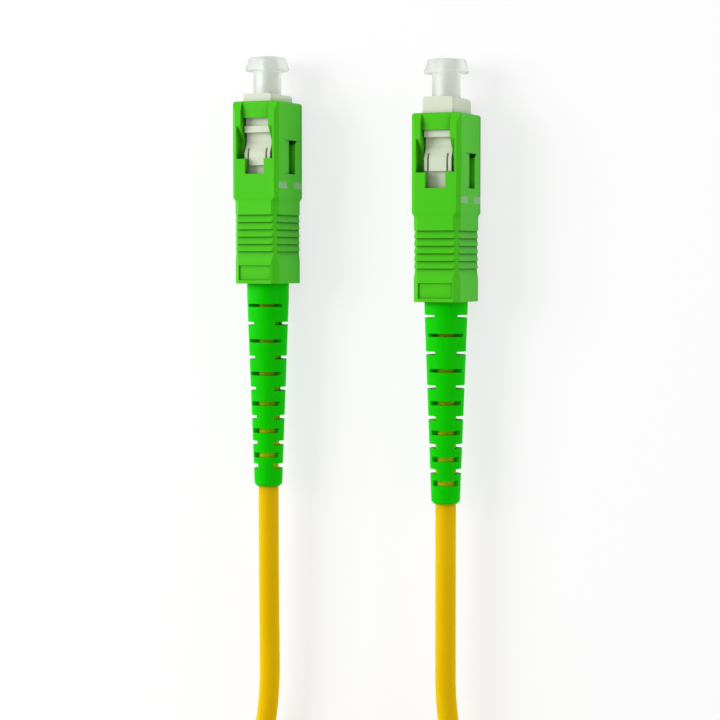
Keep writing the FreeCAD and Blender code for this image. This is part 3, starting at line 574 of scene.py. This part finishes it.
CAP_MILK = Moulded("cap_milk", Slot.CAP, (0.97, 1.0, 0.965), 0.4,
                   deep=(0.955, 0.99, 0.95), edge=(0.98, 1.0, 0.98),
                   edge_radius=0.1 * MM, glow=0.0, clear=0.85, gloss=0.3)
BUFFER_WHITE = Moulded("buffer_white", Slot.BUFFER, (0.86, 0.86, 0.83), 0.4,
                       deep=(0.8, 0.8, 0.78), edge=(0.9, 0.9, 0.88), edge_radius=0.02 * MM)
MARK_PALE = Moulded("mark_pale", Slot.SLEEVE, (0.29, 0.54, 0.27), 0.6,
                    deep=(0.25, 0.49, 0.23), edge=(0.29, 0.54, 0.27),
                    edge_radius=0.03 * MM, grain_depth=0.006 * MM, gloss=0.3)
ZIRCONIA = Turned("ground_zirconia", Slot.CERAMIC, (0.86, 0.86, 0.83), 0.18, metal=0.0,
                  shade=(0.8, 0.8, 0.76), pitch=0.04 * MM, depth=0.0006 * MM)
NICKEL = Turned("nickel_plate", Slot.PLATED, (0.74, 0.73, 0.69), 0.28,
                shade=(0.62, 0.61, 0.57))
SPRING_WIRE = Turned("spring_wire", Slot.SPRING, (0.62, 0.62, 0.63), 0.3,
                     shade=(0.4, 0.4, 0.41), pitch=0.1 * MM, wobble=1.5)
ARAMID = Yarn("aramid_yarn", Slot.YARN, (0.8, 0.62, 0.16), 0.55)
JACKET_YELLOW = Jacket("jacket_yellow", Slot.JACKET, (0.73, 0.495, 0.0), 0.42,
                       deep=(0.69, 0.465, 0.0))


def show(mesh: bpy.types.Mesh | bpy.types.Curve, name: str) -> bpy.types.Object:
    """Put some new geometry in the scene.

    Args:
        mesh: The mesh or curve data.
        name: The piece's name.

    Returns:
        The new object.
    """
    piece = bpy.data.objects.new(name, mesh)
    bpy.context.scene.collection.objects.link(piece)
    return piece


def lathe(name: str, profile: Sequence[tuple[float, float]], axis: Vector,
          sides: int = 96) -> bpy.types.Object:
    """Turn a profile about a line along Y.

    Args:
        name: The piece's name.
        profile: Pairs of radius and place along Y, from one end of the axis to the other.
        axis: A point on the line; the places along Y count from it.
        sides: How many facets go round.

    Returns:
        The turned piece, closed and smooth.
    """
    builder = bmesh.new()
    rings = []
    for radius, along in profile:
        if radius < 1e-9:
            rings.append([builder.verts.new(axis + Vector((0.0, along, 0.0)))])
            continue
        ring = []
        for step in range(sides):
            angle = 2.0 * math.pi * step / sides
            spot = Vector((radius * math.cos(angle), along, radius * math.sin(angle)))
            ring.append(builder.verts.new(axis + spot))
        rings.append(ring)
    for near, far in zip(rings, rings[1:]):
        for step in range(sides):
            after = (step + 1) % sides
            corners = [near[step % len(near)], near[after % len(near)],
                       far[after % len(far)], far[step % len(far)]]
            distinct = list(dict.fromkeys(corners))
            if len(distinct) > 2:
                builder.faces.new(distinct)
    bmesh.ops.recalc_face_normals(builder, faces=builder.faces)
    mesh = bpy.data.meshes.new(name)
    builder.to_mesh(mesh)
    builder.free()
    mesh.shade_smooth()
    return show(mesh, name)


def rounded(corners: Sequence[tuple[float, float]], radius: float, steps: int = 5,
            side_share: float = 0.45) -> list[tuple[float, float]]:
    """Round the inner corners of a turned profile with arcs.

    Args:
        corners: The profile's points.
        radius: Radius of each rounding, less where a side is too short.
        steps: Points along each arc.
        side_share: The most of a side that one rounding takes.

    Returns:
        The profile with its corners rounded.
    """
    points = [Vector(corner) for corner in corners]
    outline = [points[0]]
    for before, corner, after in zip(points, points[1:], points[2:]):
        back, ahead = before - corner, after - corner
        reach = min(radius, side_share * back.length, side_share * ahead.length)
        start = corner + back.normalized() * reach
        finish = corner + ahead.normalized() * reach
        for step in range(steps + 1):
            share = step / steps
            outline.append(start.lerp(corner, share).lerp(corner.lerp(finish, share), share))
    outline.append(points[-1])
    return [tuple(point) for point in outline]


@dataclass
class DustCap:
    """The push-on cap: a bored stem and a wide head with a shallow dome."""

    end: End
    stem: float = 4.1 * MM
    bore: float = 2.58 * MM
    bore_depth: float = 6.0 * MM
    head: float = 6.4 * MM
    crown: float = 5.35 * MM
    head_length: float = 2.1 * MM
    rim: float = 0.25 * MM
    dome: float = 0.18 * MM
    dome_flat: float = 0.25
    mouth: float = 0.2 * MM
    edge: float = 0.16 * MM

    def build(self) -> bpy.types.Object:
        """Turn the cap, dress it and set it in its node's place.

        Returns:
            The cap.
        """
        node = self.end.node("dust_cap")
        low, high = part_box(node)
        axis = Vector(((low.x + high.x) / 2, low.y, (low.z + high.z) / 2))
        length = high.y - low.y
        foot = length - self.head_length
        outline = (
            (0.0, self.bore_depth),
            (self.bore / 2, self.bore_depth),
            (self.bore / 2, self.mouth),
            (self.bore / 2 + self.mouth, 0.0),
            (self.stem / 2, 0.0),
            (self.stem / 2, foot),
            (self.head / 2 - self.rim / 2, foot),
            (self.head / 2, foot + self.rim),
            (self.crown / 2, length - self.dome),
            (self.crown * self.dome_flat, length),
            (0.0, length),
        )
        cap = lathe(f"cap_{self.end.value}", rounded(outline, self.edge), axis)
        CAP_MILK.apply(cap)
        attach(cap, f"cap_{self.end.value}")
        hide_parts(node)
        return cap


@dataclass
class CouplingSleeve:
    """The green sliding housing, with the two marks inlaid on its plain wide face."""

    end: End
    mark_start: float = 11.6 * MM
    mark_length: float = 1.0 * MM
    mark_gap: float = 2.4 * MM
    mark_width: float = 2.8 * MM
    mark_depth: float = 0.08 * MM
    mark_sink: float = 0.01 * MM
    mark_corner: float = 0.18 * MM
    corner_step: int = 15

    def build(self, nodes: dict[str, bpy.types.Object]) -> list[bpy.types.Object]:
        """Dress the sleeve and inlay its marks.

        Args:
            nodes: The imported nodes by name.

        Returns:
            The two marks.
        """
        name = self.end.node("coupling_sleeve")
        SLEEVE_GREEN.apply(nodes[name])
        low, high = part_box(name)
        face = high.x - self.mark_depth
        middle = (low.z + high.z) / 2
        marks = []
        for place, side in (("upper", 1.0), ("lower", -1.0)):
            near = middle + side * self.mark_gap / 2
            far = near + side * self.mark_width
            front = high.y - self.mark_start
            mark = self.inlay(f"mark_{place}_{self.end.value}", face,
                              (front - self.mark_length, front), sorted((near, far)))
            marks.append(mark)
        return marks

    def inlay(self, name: str, foot: float, along: Sequence[float],
              across: Sequence[float]) -> bpy.types.Object:
        """Make one mark: a thin filled shape with round corners.

        Args:
            name: The mark's name.
            foot: Where the recess floor lies along X.
            along: Its two ends along Y.
            across: Its two ends along Z.

        Returns:
            The mark.
        """
        builder = bmesh.new()
        rim = []
        for centre_y, centre_z, first in (
                (along[1] - self.mark_corner, across[1] - self.mark_corner, 0),
                (along[0] + self.mark_corner, across[1] - self.mark_corner, 90),
                (along[0] + self.mark_corner, across[0] + self.mark_corner, 180),
                (along[1] - self.mark_corner, across[0] + self.mark_corner, 270)):
            for turn in range(first, first + 91, self.corner_step):
                angle = math.radians(turn)
                rim.append((centre_y + self.mark_corner * math.cos(angle),
                            centre_z + self.mark_corner * math.sin(angle)))
        top = foot + self.mark_depth - self.mark_sink
        lower = [builder.verts.new((foot, y, z)) for y, z in rim]
        upper = [builder.verts.new((top, y, z)) for y, z in rim]
        builder.faces.new(upper)
        builder.faces.new(lower[::-1])
        for step in range(len(rim)):
            after = (step + 1) % len(rim)
            builder.faces.new((lower[step], lower[after], upper[after], upper[step]))
        bmesh.ops.recalc_face_normals(builder, faces=builder.faces)
        mesh = bpy.data.meshes.new(name)
        builder.to_mesh(mesh)
        builder.free()
        mark = show(mesh, name)
        MARK_PALE.apply(mark)
        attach(mark, f"sleeve_{self.end.value}")
        return mark


@dataclass
class CoilSpring:
    """The compression spring behind the collar: round wire with closed, ground ends."""

    end: End
    wire: float = 0.45 * MM
    active_turns: int = 5
    closed_turns: int = 1
    closed_pitch: float = 0.46 * MM
    ground: float = 0.16 * MM
    stroke: float = 1.0 * MM
    steps: int = 36
    sides: int = 12
    sharp: float = 40.0

    def build(self) -> bpy.types.Object:
        """Wind the spring and dress it.

        Returns:
            The spring.
        """
        node = self.end.node("spring")
        low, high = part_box(node)
        axis = Vector(((low.x + high.x) / 2, 0.0, (low.z + high.z) / 2))
        coil_radius = (high.x - low.x - self.wire) / 2
        builder = bmesh.new()
        rings = []
        for turn, along in self.centres(low.y, high.y):
            out = Vector((math.cos(turn), 0.0, math.sin(turn)))
            ring = []
            for side in range(self.sides):
                angle = 2.0 * math.pi * side / self.sides
                spot = axis + out * (coil_radius + self.wire / 2 * math.cos(angle))
                spot.y = min(max(along + self.wire / 2 * math.sin(angle), low.y), high.y)
                ring.append(builder.verts.new(spot))
            rings.append(ring)
        for near, far in zip(rings, rings[1:]):
            for side in range(self.sides):
                after = (side + 1) % self.sides
                builder.faces.new((near[side], near[after], far[after], far[side]))
        builder.faces.new(rings[0])
        builder.faces.new(rings[-1][::-1])
        bmesh.ops.recalc_face_normals(builder, faces=builder.faces)
        mesh = bpy.data.meshes.new(node)
        builder.to_mesh(mesh)
        builder.free()
        mesh.shade_smooth()
        mesh.set_sharp_from_angle(angle=math.radians(self.sharp))
        spring = show(mesh, f"coil_{node}")
        SPRING_WIRE.apply(spring)
        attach(spring, "cord")
        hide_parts(node)
        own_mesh(spring)
        return spring

    def centres(self, rear: float, front: float) -> list[tuple[float, float]]:
        """Follow the wire from the front end to the rear one.

        Args:
            rear: The rear end's place along Y.
            front: The front end's place along Y.

        Returns:
            Pairs of the angle turned and the wire's place along Y.
        """
        sunk = self.wire / 2 - self.ground
        closed = self.closed_turns * self.closed_pitch
        active = front - rear - 2 * (sunk + closed)
        turns = 2 * self.closed_turns + self.active_turns
        centres = []
        for step in range(turns * self.steps + 1):
            turned = step / self.steps
            first = min(turned, self.closed_turns)
            last = max(turned - self.closed_turns - self.active_turns, 0.0)
            middle = turned - first - last
            drop = (first + last) * self.closed_pitch + middle * active / self.active_turns
            centres.append((2.0 * math.pi * turned, front - sunk - drop))
        return centres


@dataclass
class PlugCore:
    """What the sleeve slides on and what it hides: the frame, the fibre and the crimp."""

    end: End

    def build(self, nodes: dict[str, bpy.types.Object]) -> None:
        """Dress each piece of the core.

        Args:
            nodes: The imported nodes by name.
        """
        finishes = {
            "plug_frame": FRAME_IVORY,
            "ferrule": ZIRCONIA,
            "ferrule_flange": NICKEL,
            "stop_ring": NICKEL,
            "aramid_yarn": ARAMID,
            "crimp_ring": NICKEL,
            "buffered_fibre": BUFFER_WHITE,
            "boot": BOOT_GREEN,
        }
        for piece, finish in finishes.items():
            finish.apply(nodes[self.end.node(piece)])


@dataclass(frozen=True)
class Stretch:
    """The free stretch from a boot to the coil, as the points of its route."""

    axis: float
    drift: float
    front: float
    exit_run: float
    straight: float
    corner: float
    coil_side: float
    heights: tuple[float, float, float, float, float]

    def points(self) -> list[Vector]:
        """Return the route's points, from the jacket's front to the coil."""
        places = (self.front, self.exit_run, self.straight, self.corner, self.coil_side)
        across = (*[self.axis] * 4, self.axis + self.drift)
        return [Vector(spot) for spot in zip(across, places, self.heights)]


@dataclass
class Cord:
    """The jacketed cord: straight from each boot, gathered in a flat two-layer coil."""

    diameter: float = 3.0 * MM
    tip_to_tip: float = 1.0
    near_a: Stretch = Stretch(
        -13.6 * MM, -3.0 * MM, 1.11 * MM, -35.8 * MM, -51.1 * MM, -63.0 * MM, -74.5 * MM,
        (4.5 * MM, 4.5 * MM, 4.3 * MM, 4.1 * MM, 2.6 * MM))
    near_b: Stretch = Stretch(
        14.35 * MM, 3.0 * MM, -0.19 * MM, -37.1 * MM, -51.1 * MM, -63.0 * MM, -74.5 * MM,
        (4.5 * MM, 4.5 * MM, 4.45 * MM, 4.4 * MM, 4.4 * MM))
    jacket_setback: float = 30.39 * MM
    crimp_end_a: float = -1.86 * MM
    coil_radius: float = 23.0 * MM
    coil_pitch: float = 3.05 * MM
    coil_centre: float = -92.0 * MM
    coil_start: float = 165.0
    coil_steps: int = 79
    round_steps: int = 12
    climb_steps: int = 6
    bevel_steps: int = 6
    curve_steps: int = 12

    def coil(self) -> list[Vector]:
        """Return the coil's points: inwards on the floor, then outwards on top."""
        turn = 360.0 / self.round_steps
        corner = math.cos(math.radians(turn / 2))
        points = []
        for step in range(self.coil_steps + 1):
            angle = math.radians(self.coil_start + turn * step)
            from_end = min(step, self.coil_steps - step)
            radius = self.coil_radius / corner - self.coil_pitch / self.round_steps * from_end
            past_middle = (step - self.coil_steps / 2) / self.climb_steps
            climb = min(max(past_middle + 0.5, 0.0), 1.0)
            points.append(Vector((radius * math.cos(angle),
                                  self.coil_centre + radius * math.sin(angle),
                                  self.diameter / 2 + climb * self.coil_pitch)))
        return points

    def build(self) -> bpy.types.Object:
        """Returns:
            The cord.
        """
        route = self.near_a.points() + self.coil() + self.near_b.points()[::-1]
        curve = bpy.data.curves.new("jacketed_cord", "CURVE")
        curve.dimensions = "3D"
        curve.bevel_depth = self.diameter / 2
        curve.bevel_resolution = self.bevel_steps
        curve.resolution_u = self.curve_steps
        curve.use_fill_caps = True
        spline = curve.splines.new("NURBS")
        spline.points.add(len(route) - 1)
        for point, place in zip(spline.points, route):
            point.co = (*place, 1.0)
        spline.order_u = 3
        spline.use_endpoint_u = True
        cord = show(curve, "jacketed_cord")
        JACKET_YELLOW.apply(cord)
        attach(cord, "cord")
        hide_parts("cable_run_a", "cable_run_b", "cable_coil")
        return cord


@dataclass(frozen=True)
class SoftLight:
    """A large square lamp."""

    name: str
    place: tuple[float, float, float]
    aim: tuple[float, float, float]
    size: float
    power: float

    def build(self) -> bpy.types.Object:
        """Hang the lamp and point it.

        Returns:
            The lamp.
        """
        lamp = bpy.data.lights.new(self.name, "AREA")
        lamp.size = self.size
        lamp.energy = self.power
        lit = bpy.data.objects.new(self.name, lamp)
        lit.location = self.place
        way = Vector(self.aim) - Vector(self.place)
        lit.rotation_euler = way.to_track_quat("-Z", "Y").to_euler()
        bpy.context.scene.collection.objects.link(lit)
        return lit


@dataclass
class Studio:
    """The pale floor, the soft lamps and the camera above the plugs."""

    floor_half: float = 1.5
    floor_tone: float = 0.95
    floor_roughness: float = 0.9
    floor_lift: float = 0.7
    sky: float = 0.55
    camera_foot: tuple[float, float, float] = (1.1 * MM, 3.2 * MM, 4.5 * MM)
    camera_aim: tuple[float, float, float] = (1.1 * MM, -11.95 * MM, 4.5 * MM)
    camera_tilt: float = 67.0
    camera_distance: float = 290.0 * MM
    focal_length: float = 100.5
    sensor: float = 36.0
    near_clip: float = 10.0 * MM
    lamps: tuple[SoftLight, ...] = (
        SoftLight("key", (-0.4, 0.1, 0.34), (0.0, 0.0, 0.0), 0.3, 2.2),
        SoftLight("fill", (0.48, -0.05, 0.15), (0.0, 0.0, 0.0), 0.2, 0.4),
    )

    def seen(self, sheet: NodeSheet, mirrored: bool) -> Socket:
        """Tell the rays that show a surface from those that light by it.

        Args:
            sheet: The material's or world's tree.
            mirrored: Whether glossy rays count as well.

        Returns:
            A socket that is 1 for camera and transmission rays, and for glossy ones if so.
        """
        path = sheet.add("ShaderNodeLightPath")
        direct = sheet.math("MAXIMUM", path.outputs["Is Camera Ray"],
                            path.outputs["Is Transmission Ray"])
        if not mirrored:
            return direct
        return sheet.math("MAXIMUM", direct, path.outputs["Is Glossy Ray"])

    def floor(self) -> bpy.types.Object:
        """Lay the floor.

        Returns:
            The floor.
        """
        builder = bmesh.new()
        half = self.floor_half
        corners = [builder.verts.new(spot) for spot in
                   ((-half, -half, 0), (half, -half, 0), (half, half, 0), (-half, half, 0))]
        builder.faces.new(corners)
        mesh = bpy.data.meshes.new("floor")
        builder.to_mesh(mesh)
        builder.free()
        floor = show(mesh, "floor")
        material = bpy.data.materials.new("floor_paper")
        material.use_nodes = True
        sheet = NodeSheet(material.node_tree)
        shader = material.node_tree.nodes["Principled BSDF"]
        shader.inputs["Base Color"].default_value = (*[self.floor_tone] * 3, 1.0)
        shader.inputs["Roughness"].default_value = self.floor_roughness
        shader.inputs["Specular IOR Level"].default_value = 0.0
        lift = sheet.add("ShaderNodeEmission")
        mixed = sheet.add("ShaderNodeMixShader")
        sheet.join(sheet.math("MULTIPLY", self.seen(sheet, mirrored=True), self.floor_lift),
                   mixed.inputs["Fac"])
        sheet.join(shader.outputs["BSDF"], mixed.inputs[1])
        sheet.join(lift.outputs["Emission"], mixed.inputs[2])
        sheet.join(mixed.outputs["Shader"],
                   material.node_tree.nodes["Material Output"].inputs["Surface"])
        mesh.materials.append(material)
        return floor

    def world(self) -> None:
        """Light the scene evenly from all round, and show white behind it."""
        world = bpy.data.worlds.new("studio")
        world.use_nodes = True
        sheet = NodeSheet(world.node_tree)
        backdrop = world.node_tree.nodes["Background"]
        backdrop.inputs["Color"].default_value = (1.0, 1.0, 1.0, 1.0)
        sheet.join(sheet.math("ADD", sheet.math("MULTIPLY", self.seen(sheet, mirrored=False),
                                                1.0 - self.sky), self.sky),
                   backdrop.inputs["Strength"])
        bpy.context.scene.world = world

    def camera(self) -> bpy.types.Object:
        """Hang the camera above the sleeves on the side of +X, with +Y up in the picture.

        Returns:
            The camera.
        """
        tilt = math.radians(self.camera_tilt)
        rise = Vector((math.cos(tilt), 0.0, math.sin(tilt))) * self.camera_distance
        place = Vector(self.camera_foot) + rise
        back = (place - Vector(self.camera_aim)).normalized()
        right = Vector((0.0, 1.0, 0.0)).cross(back).normalized()
        turn = Matrix((right, back.cross(right), back)).transposed().to_4x4()
        lens = bpy.data.cameras.new("camera")
        lens.lens = self.focal_length
        lens.sensor_width = self.sensor
        lens.clip_start = self.near_clip
        camera = bpy.data.objects.new("camera", lens)
        camera.matrix_world = Matrix.Translation(place) @ turn
        bpy.context.scene.collection.objects.link(camera)
        bpy.context.scene.camera = camera
        return camera

    def build(self) -> None:
        """Set up the whole studio."""
        self.camera()
        self.floor()
        self.world()
        for lamp in self.lamps:
            lamp.build()
        bpy.context.scene.view_settings.view_transform = "Standard"


def report(pieces: Iterable[bpy.types.Object]) -> None:
    """Log each piece that was made."""
    for piece in pieces:
        LOG.info("made %s", piece.name)


def main() -> None:
    """Build the studio, the cord and both plugs."""
    logging.basicConfig(level=logging.INFO, format="%(name)s: %(message)s")
    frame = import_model()
    Studio().build()
    report([Cord().build()])
    for end in End:
        report(CouplingSleeve(end).build(frame["nodes"]))
        PlugCore(end).build(frame["nodes"])
        report([CoilSpring(end).build(), DustCap(end).build()])


if __name__ == "__main__":
    main()
